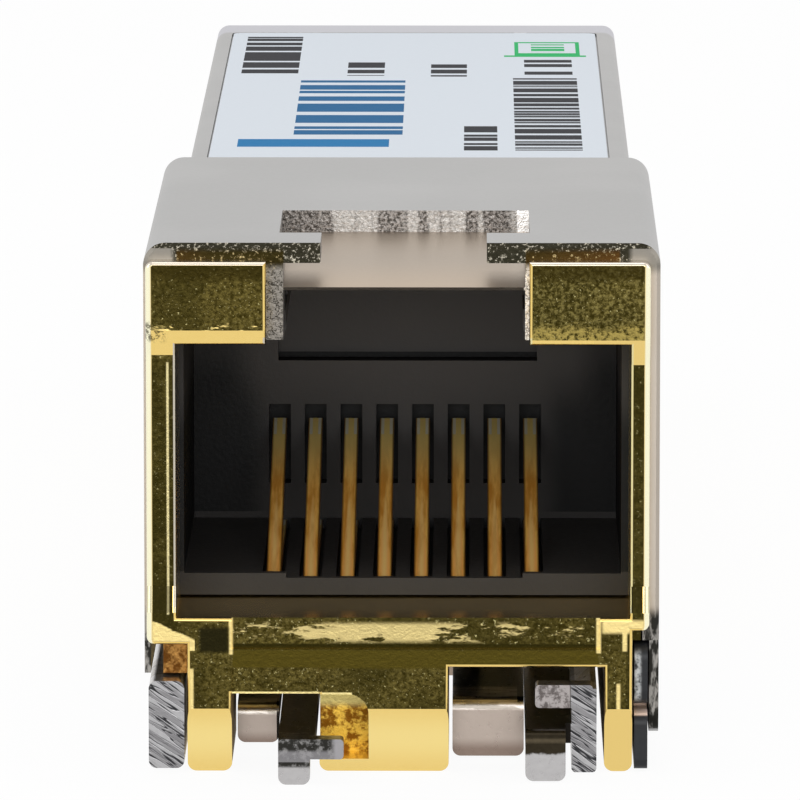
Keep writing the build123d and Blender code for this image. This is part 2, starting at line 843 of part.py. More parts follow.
def spring_contact(index, x):
    tail_y = tail_near if index % 2 == 0 else tail_far
    half = contact_thickness / 2
    # Flat tail that runs back under the cavity and rises through the board
    x0 = x - contact_width / 2
    x1 = x + contact_width / 2
    contact = block(x0, x1, contact_bend, tail_y + half, contact_level - half, contact_level + half)
    contact += block(x0, x1, tail_y - half, tail_y + half, contact_level - half,
                     board_top + tail_rise)
    # Spring that slopes back and up from the front bend to the slot in the rear insert
    run = contact_tip_y - contact_bend
    rise = contact_tip_z - contact_level
    length = math.hypot(run, rise)
    along = (run / length, rise / length)
    out_y = -along[1] * half
    out_z = along[0] * half
    spring = [
        (contact_bend + out_y, contact_level + out_z),
        (contact_tip_y + out_y, contact_tip_z + out_z),
        (contact_tip_y - out_y, contact_tip_z - out_z),
        (contact_bend - out_y, contact_level - out_z),
    ]
    contact += from_side(spring, x0, x1)
    contact += rod_x(half, x0, x1, contact_bend, contact_level)
    return contact


def circuit_board():
    outline = [
        (-board_half, board_front),
        (board_half, board_front),
        (board_half, edge_neck),
        (edge_half, edge_neck),
        (edge_half, board_rear - edge_bevel),
        (edge_half - edge_bevel, board_rear),
        (-edge_half + edge_bevel, board_rear),
        (-edge_half, board_rear - edge_bevel),
        (-edge_half, edge_neck),
        (-board_half, edge_neck),
    ]
    board = from_top(outline, board_bottom, board_top)
    for index, x in enumerate(contact_places()):
        y = tail_near if index % 2 == 0 else tail_far
        board -= rod_z(contact_width / 2 + tail_gap, x, y, board_bottom - 1, board_top + 1)
    for y in post_y:
        board -= rod_z(post_radius + post_hole_gap, 0, y, board_bottom - 1, board_top + 1)
    return board


def edge_pads():
    pads = []
    first = -pad_pitch * (pad_count - 1) / 2
    rear = board_rear - pad_setback
    for i in range(pad_count):
        x = first + pad_pitch * i
        x0 = x - pad_width / 2
        x1 = x + pad_width / 2
        pads.append(block(x0, x1, rear - pad_length, rear, board_top, board_top + pad_height))
        pads.append(block(x0, x1, rear - pad_length, rear, board_bottom - pad_height, board_bottom))
    return Compound(children=pads)


def magnetics(y):
    half = magnetics_half
    run = magnetics_length / 2
    module = block(-half, half, y - run, y + run, board_top, board_top + magnetics_height)
    upper = module.faces().sort_by(Axis.Z)[-1].edges()
    return chamfer(upper, magnetics_bevel)


def large_chip():
    half = chip_size / 2
    return block(-half, half, chip_y - half, chip_y + half, board_top, board_top + chip_height)


def thermal_pad():
    half = pedestal_size / 2
    low = board_top + chip_height
    return block(-half, half, chip_y - half, chip_y + half, low, low + pad_stack)


def component(x, y, size):
    return block(x - size[0] / 2, x + size[0] / 2, y - size[1] / 2, y + size[1] / 2,
                 board_top, board_top + size[2])


def capacitors():
    parts = []
    for y in capacitor_rows_y:
        for i in range(capacitor_columns):
            x = capacitor_last - capacitor_pitch * i
            parts.append(component(x, y, capacitor_size))
    return Compound(children=parts)


def release_slide():
    # Cross web with the two slots that the rivets run in
    slide = block(arm_left_outer, arm_right_outer, web_front, web_rear, web_bottom, web_top)
    radius = rivet_shank + rivet_slot_gap
    for x in rivet_x:
        slide -= rod_z(radius, x, rivet_y, 0, channel_top)
        slide -= rod_z(radius, x, rivet_y + slide_travel, 0, channel_top)
        slide -= block(x - radius, x + radius, rivet_y, rivet_y + slide_travel, 0, channel_top)
    # Left arm: a plain bar with rounded edges along its length
    left = block(arm_left_outer, arm_left_inner, arm_front, web_rear, arm_left_bottom, arm_left_top)
    slide += fillet(left.edges().filter_by(Axis.Y), arm_round)
    # Right arm: slanted upper edge on its inner side
    right_section = [
        (arm_right_inner, arm_right_bottom),
        (arm_right_outer, arm_right_bottom),
        (arm_right_outer, arm_right_top),
        (arm_right_outer - arm_right_flat, arm_right_top),
        (arm_right_inner, arm_right_slant),
    ]
    right = from_front(right_section, arm_front, web_rear)
    low = right.edges().filter_by(Axis.Y).group_by(Axis.Z)[0]
    slide += fillet(low, arm_round / 2)
    # Tab bent inward from the right arm
    tab = block(tab_inner, arm_right_outer - tab_rise, arm_front, arm_front + tab_depth,
                tab_bottom, tab_top)
    slide += fillet(tab.edges().filter_by(Axis.Y), arm_round / 2)
    # Two plates: tongues of the web, bent down at their front
    slide += tongue(plate_left_inner, plate_left_outer, plate_left_y, plate_left_bottom,
                    plate_left_top)
    slide += tongue(plate_right_inner, plate_right_outer, plate_right_y, plate_right_bottom,
                    plate_right_top)
    # Left hook: stem, cross piece and a finger that points down
    y0 = -hook_reach
    slide += tongue(hook_left_outer, hook_left_stem, y0, 0.0, hook_left_top)
    cross = block(hook_left_outer, hook_left_tip, y0, y0 + sheet, hook_left_step, hook_left_top)
    slide += fillet(cross.edges().filter_by(Axis.Y), arm_round / 2)
    slide += shoulder(hook_left_outer, middle_left - plate_gap, y0 + shoulder_setback, hook_left_top)
    # Right hook
    slide += tongue(hook_right_inner, hook_right_outer, -hook_right_y, hook_right_bottom,
                    hook_right_top)
    slide += shoulder(hook_right_inner, arm_right_inner, arm_front, hook_right_top)
    # Wedge that lifts the latch lever when the slide is pulled
    wedge = [
        (wedge_front, web_top - wedge_sink),
        (wedge_front, wedge_top - wedge_slope),
        (wedge_front + wedge_slope, wedge_top),
        (wedge_rear, wedge_top),
        (wedge_rear, web_top - wedge_sink),
    ]
    slide += from_side(wedge, -wedge_half, wedge_half)
    return slide


def tongue(x0, x1, y, bottom, top):
    # Strip of sheet that runs forward from the web and is bent down at its front end
    low = top - sheet
    flat = block(x0, x1, y, web_front + sheet, low, top)
    down = block(x0, x1, y, y + sheet, bottom, top)
    strip = flat + down
    bend = strip.edges().filter_by(Axis.X).sort_by(Axis.Z)[-2:].sort_by(Axis.Y)[:1]
    strip = fillet(bend, sheet * bend_share)
    tips = [e for e in strip.edges().filter_by(Axis.Y) if e.center().Z < bottom + fit_gap]
    return fillet(tips, arm_round)


def shoulder(x0, x1, y, top):
    # Part of a hook's strip that is wider than the hook itself
    return block(x0, x1, y, web_front, top - sheet, top)


def slide_rivets():
    rivets = []
    for x in rivet_x:
        head_top_z = web_bottom - fit_gap
        rivet = rod_z(rivet_shank, x, rivet_y, head_top_z - rivet_lap, channel_top + base_floor)
        head = rod_z(rivet_head, x, rivet_y, head_top_z - rivet_head_height, head_top_z)
        low = head.edges().group_by(Axis.Z)[0]
        rivet += chamfer(low, rivet_head_height * rivet_bevel)
        rivets.append(rivet)
    return Compound(children=rivets)


def latch_lever():
    low = pivot_z
    high = pivot_z + lever_thickness
    rise = tail_bottom - low
    side = [
        (pivot_y, low),
        (cam_front, low),
        (cam_front + cam_drop, low - cam_drop),
        (cam_rear, low - cam_drop),
        (cam_rear + cam_slope, low),
        (lever_bend + lever_bend_shift, low),
        (lever_bend + lever_bend_shift + rise, tail_bottom),
        (boss_shoulder, tail_bottom),
        (boss_shoulder, body_bottom - boss_depth),
        (boss_shoulder + boss_flat, body_bottom - boss_depth),
        (boss_shoulder + boss_length, tail_bottom),
        (tail_end, tail_bottom),
        (tail_end, tail_bottom + lever_thickness),
        (lever_bend - lever_bend_shift + rise, tail_bottom + lever_thickness),
        (lever_bend - lever_bend_shift, high),
        (pivot_y, high),
    ]
    lever = from_side(side, -lever_half, lever_half)
    lever += rod_x(eye_radius, -lever_half, lever_half, pivot_y, pivot_z)
    lever -= rod_x(pin_radius + pin_gap, -lever_half - 1, lever_half + 1, pivot_y, pivot_z)
    return lever


def latch_pin():
    return rod_x(pin_radius, -lug_outer, lug_outer, pivot_y, pivot_z)


def leaf_spring():
    level = channel_top - leaf_thickness / 2
    path = [
        (leaf_front, level),
        (leaf_low, level - leaf_drop),
        (leaf_rear, level),
        (leaf_rear + leaf_flat, level),
    ]
    return from_side(strip_path(path, leaf_thickness), -leaf_half, leaf_half)


def side_strip():
    split = strip_step + strip_split
    upper = block(strip_inner, strip_outer, strip_front, strip_rear, split, strip_top)
    upper = fillet(upper.edges().filter_by(Axis.X), strip_round_top)
    lower = block(strip_inner, strip_outer, strip_front, strip_rear, arm_right_bottom, strip_step)
    lower = fillet(lower.edges().filter_by(Axis.X), strip_round_low)
    web = block(strip_inner, strip_outer, strip_front + strip_web_setback, strip_rear - strip_web_end,
                strip_step - strip_web_lap, split + strip_web_lap)
    return upper + lower + web


def ground_collar():
    outer = body_half + collar_sheet
    rear = collar_front + collar_band
    top = body_top + collar_sheet
    collar = block(-outer, outer, collar_front, rear, body_top, top)
    for side in (-1, 1):
        x0 = min(side * body_half, side * outer)
        x1 = max(side * body_half, side * outer)
        collar += block(x0, x1, collar_front, rear, collar_bottom, top)
    # Fingers of the top
    level = body_top + collar_sheet / 2
    path = [
        (rear - finger_lap, level),
        (rear + finger_middle, level + top_bulge),
        (rear + finger_length, level + top_tip),
    ]
    for i in range(top_fingers):
        x = finger_pitch * (i - (top_fingers - 1) / 2)
        collar += from_side(strip_path(path, collar_sheet), x - finger_width / 2, x + finger_width / 2)
    # Fingers of the two sides
    level = body_half + collar_sheet / 2
    path = [
        (rear - finger_lap, level),
        (rear + finger_middle, level + side_bulge),
        (rear + finger_length, level + side_tip),
    ]
    section = strip_path(path, collar_sheet)
    middle = (collar_bottom + body_top) / 2
    for i in range(side_fingers):
        z = middle + finger_pitch * (i - (side_fingers - 1) / 2)
        for side in (-1, 1):
            points = [(side * x, y) for y, x in section]
            collar += from_top(points, z - finger_width / 2, z + finger_width / 2)
    return collar


def paper_label():
    sheet_label = block(label_left, label_right, label_front, label_rear,
                        body_top - label_recess, body_top)
    return fillet(sheet_label.edges().filter_by(Axis.Z), label_corner)


def save(name, shape):
    moved = Pos(0, y_shift, 0) * shape
    export_step(moved, "parts/" + name + ".step")


os.makedirs("parts", exist_ok=True)
save("top_shell", top_shell())
save("base_shell", base_shell())
save("jack_housing", jack_housing())
save("jack_rear_insert", rear_insert())
for number, place in enumerate(contact_places()):
    save("contact_" + str(number + 1), spring_contact(number, place))
save("circuit_board", circuit_board())
save("edge_pads", edge_pads())
save("magnetics_front", magnetics(magnetics_y[0]))
save("magnetics_rear", magnetics(magnetics_y[1]))
save("large_chip", large_chip())
save("thermal_pad", thermal_pad())
save("memory_chip", component(memory_x, memory_y, memory_size))
save("crystal", component(crystal_x, crystal_y, crystal_size))
save("inductor", component(inductor_x, inductor_y, inductor_size))
save("capacitors", capacitors())
save("release_slide", release_slide())
save("slide_rivets", slide_rivets())
save("latch_lever", latch_lever())
save("latch_pin", latch_pin())
save("leaf_spring", leaf_spring())
save("side_strip", side_strip())
save("ground_collar", ground_collar())
save("cover_screws", cover_screws())
save("label", paper_label())
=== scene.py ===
# %% [markdown]
# # A copper transceiver with a network socket in its front
# The part is a small metal module that slides into a cage. This lesson dresses its fixed solids:
# each piece of metal, plastic and paper gets a finish made from nodes, and then it is lit. Lengths
# are in metres, X runs across, Y from the socket back to the card edge, and Z up.

# %% Load the solids
import math
import bpy
from mathutils import Matrix, Vector


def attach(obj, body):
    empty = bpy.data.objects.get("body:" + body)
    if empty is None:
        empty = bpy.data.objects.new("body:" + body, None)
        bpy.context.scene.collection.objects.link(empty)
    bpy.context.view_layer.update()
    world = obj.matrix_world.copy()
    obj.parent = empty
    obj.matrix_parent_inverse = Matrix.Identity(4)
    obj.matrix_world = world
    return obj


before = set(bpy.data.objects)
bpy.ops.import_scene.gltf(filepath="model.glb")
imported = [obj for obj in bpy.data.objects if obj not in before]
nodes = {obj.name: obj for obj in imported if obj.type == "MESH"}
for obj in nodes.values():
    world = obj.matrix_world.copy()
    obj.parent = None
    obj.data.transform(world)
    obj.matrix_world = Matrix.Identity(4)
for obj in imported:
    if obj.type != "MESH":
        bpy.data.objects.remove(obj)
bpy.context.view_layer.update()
scene = bpy.context.scene
scene.view_settings.view_transform = "Standard"

# %% [markdown]
# ## Camera
# A picture of such a small thing is taken with a long lens from a quarter of a metre away, a
# little above it. The rear of the body then looks narrower than the head, and its edges run
# together towards a point far above the frame. The camera stands a little to the right of the
# middle and looks straight along the body, nine degrees down.

# %% Camera
mm = 0.001
front_y = -32.0 * mm          # the front face of the gold frame
camera_data = bpy.data.cameras.new("view_camera")
camera_data.sensor_width = 36.0
camera_data.lens = 426.6
camera_data.clip_start = 0.01
camera_data.clip_end = 20.0
camera = bpy.data.objects.new("view_camera", camera_data)
camera.location = (1.88 * mm, front_y - 253.1 * mm, 51.03 * mm)
camera_down = math.radians(9.14)
camera_aside = math.radians(0.4355)
camera.rotation_euler = (math.pi / 2.0 - camera_down, 0.0, camera_aside)
scene.collection.objects.link(camera)
scene.camera = camera
print("camera at", tuple(camera.location))

# %% [markdown]
# ## Node maths
# A finish is a small sum: a colour here, a mask there. Wiring each Math node by hand hides that
# sum, so one class wraps a socket and lets Python's own signs add the nodes.

# %% Values
class Value:
    """A socket that can be added, multiplied and compared."""

    def __init__(self, sheet, socket):
        self.sheet = sheet
        self.socket = socket

    def math(self, operation, *others):
        return self.sheet.math(operation, self, *others)

    def __add__(self, other):
        return self.math("ADD", other)

    __radd__ = __add__

    def __mul__(self, other):
        return self.math("MULTIPLY", other)

    __rmul__ = __mul__

    def __sub__(self, other):
        return self.math("SUBTRACT", other)

    def __rsub__(self, other):
        return self.sheet.math("SUBTRACT", other, self)

    def __neg__(self):
        return self.math("MULTIPLY", -1.0)

    def size(self):
        return self.math("ABSOLUTE")

    def above(self, level):
        return self.math("GREATER_THAN", level)

    def below(self, level):
        return self.math("LESS_THAN", level)

    def between(self, low, high):
        return self.above(low) * self.below(high)

    def fade(self, low, high):
        """0 at low, 1 at high, smooth between them."""
        return self.sheet.add(
            "ShaderNodeMapRange", {"interpolation_type": "SMOOTHSTEP"},
            {"Value": self, "From Min": low, "From Max": high})

    def within(self, low, high, soft=0.03):
        """1 between two places given in millimetres, with soft ends."""
        low, high, soft = low * mm, high * mm, soft * mm
        return self.fade(low - soft, low + soft) * (1.0 - self.fade(high - soft, high + soft))

    def line(self, level, half, soft):
        """1 where the value is near a level: turns noise into fine wrinkles."""
        return 1.0 - (self - level).size().fade(half, half + soft)


print("values ready")

# %% [markdown]
# ## One sheet for each finish
# A sheet holds the node tree of a finish. It knows where a point lies on the part, how deep behind
# the front face, and which way the surface looks there. It also makes the patterns: noise, soft
# rectangles, scratches. Noise that is asked for twice is made once.

# %% Sheets
class Sheet:
    """The node tree of one finish."""

    def __init__(self, name):
        self.material = bpy.data.materials.new(name)
        self.material.use_nodes = True
        self.tree = self.material.node_tree
        self.surface = self.tree.nodes["Principled BSDF"]
        self.noises = {}
        self.point = self.add("ShaderNodeTexCoord", output=3)
        self.px, self.py, self.pz = self.split(self.point)
        self.nx, self.ny, self.nz = self.split(self.add("ShaderNodeTexCoord", output=1))
        self.depth = self.py - front_y
        self.side = self.px.size()

    def add(self, kind, settings=None, inputs=None, output=0):
        node = self.tree.nodes.new(kind)
        for key, value in (settings or {}).items():
            setattr(node, key, value)
        for key, value in (inputs or {}).items():
            self.put(node.inputs[key], value)
        return Value(self, node.outputs[output])

    def put(self, socket, value):
        if isinstance(value, Value):
            self.tree.links.new(value.socket, socket)
        elif isinstance(value, tuple) and len(value) == 3 and socket.type == "RGBA":
            socket.default_value = (*value, 1.0)
        else:
            socket.default_value = value

    def split(self, vector):
        node = self.tree.nodes.new("ShaderNodeSeparateXYZ")
        self.tree.links.new(vector.socket, node.inputs[0])
        return [Value(self, node.outputs[i]) for i in range(3)]

    def math(self, operation, *terms):
        node = self.tree.nodes.new("ShaderNodeMath")
        node.operation = operation
        for socket, term in zip(node.inputs, terms):
            self.put(socket, term)
        return Value(self, node.outputs[0])

    def mix(self, mask, first, second):
        """A colour that goes from first to second with the mask."""
        return self.add("ShaderNodeMix", {"data_type": "RGBA"}, {0: mask, 6: first, 7: second}, 2)

    def layers(self, colour, *coats):
        """Lays coats over a colour. Each is a mask and a colour, and the last lies on top."""
        for mask, coat in coats:
            colour = self.mix(mask, colour, coat)
        return colour

    def noise(self, scale, detail=3.0, roughness=0.6, stretch=None):
        wanted = (scale, detail, roughness, stretch)
        if wanted not in self.noises:
            vector = self.point
            if stretch is not None:
                vector = self.add("ShaderNodeMapping", None, {"Vector": vector, "Scale": stretch})
            self.noises[wanted] = self.grains(vector, scale, detail, roughness)
        return self.noises[wanted]

    def grains(self, vector, scale, detail, roughness):
        settings = {"Vector": vector, "Scale": scale, "Detail": detail, "Roughness": roughness}
        return self.add("ShaderNodeTexNoise", None, settings)

    def scratches(self, angle, scale, ratio):
        """Noise drawn out along a line that falls to the right at an angle."""
        cosine = math.cos(math.radians(angle))
        sine = math.sin(math.radians(angle))
        along = (self.px * cosine - self.pz * sine) * ratio
        across = self.px * sine + self.pz * cosine
        vector = self.add("ShaderNodeCombineXYZ", None, {"X": along, "Y": 0.0, "Z": across})
        return self.grains(vector, scale, 2.0, 0.5)

    def field(self, x0, x1, z0, z1, soft=0.03):
        """A rectangle seen from the front, in millimetres across and up."""
        return self.px.within(x0, x1, soft) * self.pz.within(z0, z1, soft)

    def bump(self, height, strength, distance, normal=None):
        inputs = {"Height": height, "Strength": strength, "Distance": distance}
        if normal is not None:
            inputs["Normal"] = normal
        return self.add("ShaderNodeBump", None, inputs)

    def finish(self, **inputs):
        for key, value in inputs.items():
            self.put(self.surface.inputs[key.replace("_", " ")], value)
        return self.material


def wear(material, *names):
    """Gives a finish to solids by name."""
    for name in names:
        mesh = nodes[name].data
        mesh.materials.clear()
        mesh.materials.append(material)


print("sheets ready")

# %% [markdown]
# ## Nickel
# The top shell is a zinc casting with satin nickel plating. Its roof is smooth and evenly grey, a
# little brighter behind the label. The ramp sunk into it, under the finger opening, gets a painted
# reflection of the warm tones around it, most of all at its front.

# %% Smooth nickel
def smooth_nickel(s):
    cloud = s.noise(160.0, 2.0, 0.5)
    smooth = s.mix(cloud.fade(0.35, 0.7), (0.355, 0.350, 0.343), (0.383, 0.377, 0.370))
    behind_label = s.depth.fade(63.2 * mm, 63.8 * mm)
    # Painted warm reflection on the ramp, stronger at its front
    ramp = s.px.within(-3.7, 3.84) * (1.0 - s.pz.fade(13.9 * mm, 14.2 * mm))
    ramp = ramp * s.nz.fade(0.9, 0.98) * (1.0 - s.depth.fade(7.0 * mm, 7.2 * mm))
    warm = s.mix(s.depth.fade(0.6 * mm, 4.0 * mm), (0.47, 0.375, 0.280), (0.40, 0.335, 0.270))
    return s.layers(smooth, (behind_label, (0.47, 0.465, 0.50)), (ramp, warm))


print("smooth nickel described")

# %% [markdown]
# The faces that point forward were left rough, as they came from the mould, and their colour is
# a painted, mottled dark reflection. The roof's edge is dark with bright specks of painted glint,
# and has a painted orange reflection where it faces the gold blocks. The two lips are silver with
# fine dark wrinkles, darker on the left.

# %% Nickel front faces, with painted reflection
def roof_edge(s):
    grit_and_glints = s.noise(11000.0, 3.0, 0.7)
    cloud = s.noise(160.0, 2.0, 0.5)
    # Painted dark reflection of the roof's edge, with bright specks of painted glint
    dark = s.mix(grit_and_glints.fade(0.55, 0.66), (0.024, 0.022, 0.014), (0.37, 0.34, 0.27))
    # Painted orange reflection of the gold blocks, with painted glints
    orange = s.mix(cloud.fade(0.4, 0.6), (0.024, 0.018, 0.005), (0.062, 0.030, 0.008))
    orange = s.mix(grit_and_glints.fade(0.57, 0.70), orange, (0.32, 0.25, 0.12))
    over_blocks = s.px.within(-6.1, -3.2) + s.px.within(3.35, 5.9)
    return s.mix(over_blocks * (1.0 - s.pz.fade(14.22 * mm, 14.40 * mm)), dark, orange)


def lip_silver(s):
    wrinkles = s.noise(5200.0, 3.0, 0.7).line(0.5, 0.006, 0.035)
    left = s.mix(wrinkles, (0.18, 0.165, 0.145), (0.030, 0.027, 0.022))
    right = s.mix(wrinkles, (0.60, 0.56, 0.51), (0.16, 0.14, 0.12))
    return s.mix(s.px.above(0.0), left, right)


def opening_wall(s):
    """The rear wall of the finger opening: grey specks in bands, and white at its right end."""
    grit_and_glints = s.noise(11000.0, 3.0, 0.7)
    bands = s.noise(900.0, 3.0, 0.7, (1.0, 0.05, 0.05)).fade(0.52, 0.60)
    wall = s.mix(grit_and_glints.fade(0.40, 0.60), (0.05, 0.045, 0.04), (0.27, 0.25, 0.235))
    return s.layers(
        wall,
        (bands * 0.35, (0.70, 0.68, 0.65)),
        (s.px.within(3.15, 3.72), (0.90, 0.89, 0.88)))


print("moulded nickel described")

# %% [markdown]
# The mask for these faces reads the surface's own direction: forward means a normal along -Y. The
# rounded corners of the front stay pale, low down the skirts the painted dark reflection is
# streaked, and the edge under the ramp gets painted dark shade.

# %% Nickel finish
def nickel():
    s = Sheet("satin_nickel")
    grain = s.noise(9000.0)
    crumple = s.noise(5200.0, 3.0, 0.7)
    cloud = s.noise(160.0, 2.0, 0.5)
    streaks = s.noise(5200.0, 3.0, 0.7, (1.0, 0.3, 0.3))
    forward = (-s.ny).fade(0.55, 0.68)
    corner = s.side.fade(6.1 * mm, 6.3 * mm) * s.pz.below(14.36 * mm)
    pale = s.mix(cloud, (0.36, 0.32, 0.27), (0.43, 0.38, 0.33))
    pale = s.mix(s.pz.fade(13.6 * mm, 13.9 * mm), pale, (0.20, 0.185, 0.16))
    skirt = s.side.above(6.3 * mm) * (1.0 - s.pz.fade(4.2 * mm, 4.6 * mm))
    # Painted dark reflection, streaked, low down the skirts
    streaky = s.mix(streaks.fade(0.46, 0.62), (0.022, 0.021, 0.018), (0.27, 0.255, 0.235))
    lips = s.px.within(-3.75, -3.2) + s.px.within(3.3, 3.85)
    lips = lips * (1.0 - s.pz.fade(13.7 * mm, 14.0 * mm))
    # Painted dark shade on the edge under the ramp
    under_ramp = s.px.within(-3.2, 3.3) * s.pz.between(12.0 * mm, 13.5 * mm)
    front = s.layers(
        roof_edge(s),
        (corner, pale),
        (skirt, streaky),
        (lips, lip_silver(s)),
        (s.depth.above(6.0 * mm), opening_wall(s)),
        (under_ramp, (0.03, 0.025, 0.02)))
    fine = s.bump(grain, 0.08, 0.00002)
    coarse = s.bump(crumple * forward * (1.0 - corner), 0.35, 0.00008, fine)
    return s.finish(
        Base_Color=s.mix(forward, smooth_nickel(s), front),
        Metallic=1.0, Roughness=0.36 + 0.08 * grain, Normal=coarse)


wear(nickel(), "top_shell")
print("nickel on top_shell")

# %% [markdown]
# ## Gold
# The base shell is cast as well, and plated with gold over a bright layer. Bevels, slopes and the
# lower faces, which lean back, look yellow, with a painted brighter band low on the lower faces.
# Outer bevels get a painted pale highlight, and the bevels on top of the corner blocks a painted
# reflection of the nickel above them. Inside the opening the side faces are pale silver on the
# left and pale gold on the right. The sides of the legs that look at each other are dull, with
# painted brown shade, and a few dark spots mark the left edge of the left block.

# %% Bright gold
def bright_gold(s, lower, inward):
    grain = s.noise(9000.0)
    patches = s.noise(7500.0, 4.0, 0.75)
    yellow = s.mix(grain, (0.83, 0.595, 0.185), (0.87, 0.645, 0.225))
    outward = s.nx.size().fade(0.15, 0.40) * (-s.ny).fade(0.05, 0.20)
    low_bevel = outward * s.pz.between(4.3 * mm, 6.2 * mm) * s.nz.fade(0.02, 0.06)
    inner = s.field(-6.3, 6.3, 4.6, 12.0) * s.nx.size().above(0.2)
    inner_side_tone = s.mix(s.px.above(0.0), (0.58, 0.53, 0.44), (0.80, 0.70, 0.36))
    dark_spots = s.field(-7.0, -6.4, 11.9, 12.4, 0.1) * patches.fade(0.45, 0.55)
    block_tops = s.nz.fade(0.15, 0.35) * s.pz.above(13.6 * mm)
    return s.layers(
        yellow,
        # Painted highlight: a brighter band low on the lower faces, held back on the right leg
        (s.pz.within(0.45, 1.45, 0.45) * lower, (0.91, 0.71, 0.27)),
        (s.px.above(5.2 * mm) * lower, (0.81, 0.59, 0.20)),
        # Painted pale highlights on the outer bevels and on the low bevels
        (outward * s.side.above(6.3 * mm), (0.96, 0.92, 0.66)),
        (low_bevel, (0.70, 0.64, 0.42)),
        (inner, inner_side_tone),
        (dark_spots * 0.8, (0.030, 0.023, 0.005)),
        # Painted reflection of the nickel on the bevels on top of the corner blocks
        (block_tops, (0.62, 0.55, 0.46)),
        # Painted brown shade on the sides of the legs that look at each other
        (inward, (0.16, 0.10, 0.030)))


print("bright gold described")

# %% [markdown]
# The flat front faces are rough from the casting, and their colour is a painted dark olive
# reflection with fine painted glints. On the corner blocks painted shade darkens it at the top,
# and at the bottom a painted highlight of the bright slope runs up into it in waves, sharp on the
# left and gritty on the right.

# %% Painted shading of the corner blocks
# The painted dark olive of forward gold faces: painted reflection and painted shade
dark_olive = (0.020, 0.016, 0.003)


def olive_painted_reflection(s):
    patches = s.noise(7500.0, 4.0, 0.75)
    broad = s.noise(650.0, 2.0, 0.5)
    specks = s.noise(12500.0, 2.0, 0.7)
    right_block = s.px.above(3.0 * mm) * s.pz.above(11.5 * mm)
    # Painted dark olive reflection of the forward faces, with painted shade patches and painted
    # glints
    olive = s.mix(patches.fade(0.36, 0.66), (0.024, 0.018, 0.003), (0.098, 0.077, 0.020))
    return s.layers(
        olive,
        (broad.fade(0.42, 0.58) * 0.55, dark_olive),
        (right_block * patches.fade(0.45, 0.65) * 0.6, (0.17, 0.140, 0.045)),
        (specks.fade(0.62, 0.74), (0.42, 0.37, 0.17)))


def block_painted_shading(s, waves):
    patches = s.noise(7500.0, 4.0, 0.75)
    wavy_height = s.pz + (waves - 0.5) * (1.1 * mm)
    blocks = s.pz.above(11.5 * mm)
    left = s.px.below(-3.2 * mm) * blocks * (1.0 - wavy_height.fade(12.20 * mm, 12.26 * mm))
    right = s.px.above(3.2 * mm) * blocks * (1.0 - wavy_height.fade(12.12 * mm, 12.42 * mm))
    jambs = s.side.above(6.1 * mm) * s.pz.below(11.4 * mm)
    return s.layers(
        olive_painted_reflection(s),
        # Painted shade at the top of the corner blocks
        (s.pz.fade(13.42 * mm, 13.72 * mm) * 0.75, (0.022, 0.016, 0.003)),
        # Painted highlight of the bright slope, running up in sharp waves on the left block
        (left * s.px.fade(-6.9 * mm, -6.3 * mm), (0.74, 0.56, 0.20)),
        # Painted highlight of the bright slope, gritty, on the right block
        (right * patches.fade(0.38, 0.56), (0.24, 0.185, 0.05)),
        # Painted shade on the jambs
        (jambs * 0.6, dark_olive))


print("block skin described")

# %% [markdown]
# Along the sill, below the opening, runs a smooth band of painted dark reflection with a line of
# painted shade above it. Above the line a rough bright patch of painted highlight frays towards
# both sides. Painted highlights mark pale corners and short ridges beside it, where they catch
# the light.

# %% Painted shading of the sill
def sill_painted_shading(s, waves, painted_front_shading):
    patches = s.noise(7500.0, 4.0, 0.75)
    sill = s.px.within(-4.6, 5.35)
    smooth_band = s.mix(patches, (0.052, 0.039, 0.0055), (0.062, 0.047, 0.0075))
    reach = s.side * 46.0 + 0.39
    painted_reflection = s.pz.within(3.64, 4.14, 0.08) * sill * (waves - reach).fade(-0.02, 0.05)
    return s.layers(
        painted_front_shading,
        # Painted dark reflection on the smooth band
        (s.pz.within(2.92, 3.44, 0.06) * sill, smooth_band),
        # Painted shade line above the band
        (s.pz.within(3.44, 3.58, 0.03) * sill, dark_olive),
        # Painted highlight on the rough bright patch
        (painted_reflection * 0.9, (0.50, 0.40, 0.17)))


def painted_pale_highlights(s, waves):
    """Mask of the painted highlights on the pale corners of the frame and on the ridges beside the
    sill.
    """
    falling = s.pz + (s.px + 6.76 * mm) * 0.45 + (waves - 0.5) * (0.35 * mm)
    left_corner = s.px.below(-5.62 * mm) * s.pz.between(3.4 * mm, 4.4 * mm)
    left_corner = left_corner * (1.0 - falling.fade(4.18 * mm, 4.24 * mm))
    highlights = left_corner + s.field(5.45, 6.75, 3.9, 4.25, 0.06)
    ridges = (
        (-4.69, -4.59, 3.3, 4.3), (5.29, 5.41, 3.35, 4.32), (6.0, 6.12, 3.4, 4.0),
        (-5.80, -5.66, 1.7, 2.9), (5.84, 5.94, 1.7, 2.5))
    for ridge in ridges:
        highlights = highlights + s.field(*ridge)
    return highlights.math("MINIMUM", 1.0)


print("sill skin described")

# %% [markdown]
# Some forward faces lie deeper. The pocket in the middle block is crumpled and orange, the face
# over the left arm is brown, and all others get painted dark shade. Two thin lines of painted
# highlight catch the light, one down the left jamb and one under the sill, and a square beside the
# sill's left end stays dark.

# %% Gold finish
def deep_painted_shading(s, painted_front_shading):
    crumple = s.noise(3000.0, 3.0, 0.7)
    orange = s.mix(crumple.fade(0.42, 0.60), (0.17, 0.065, 0.006), (0.62, 0.38, 0.055))
    orange = s.mix(s.pz.fade(1.5 * mm, 1.75 * mm), orange, (0.46, 0.375, 0.135))
    brown = s.mix(crumple.fade(0.40, 0.62), (0.085, 0.032, 0.006), (0.32, 0.165, 0.045))
    deep = s.depth.above(0.9 * mm)
    over_arm = s.depth.above(0.5 * mm) * s.px.below(-5.6 * mm) * s.pz.below(3.6 * mm)
    return s.layers(
        painted_front_shading,
        # Painted dark shade on the deeper forward faces
        (deep, (0.006, 0.005, 0.003)),
        (deep * s.px.within(-2.3, -0.8), orange),
        (over_arm, brown))


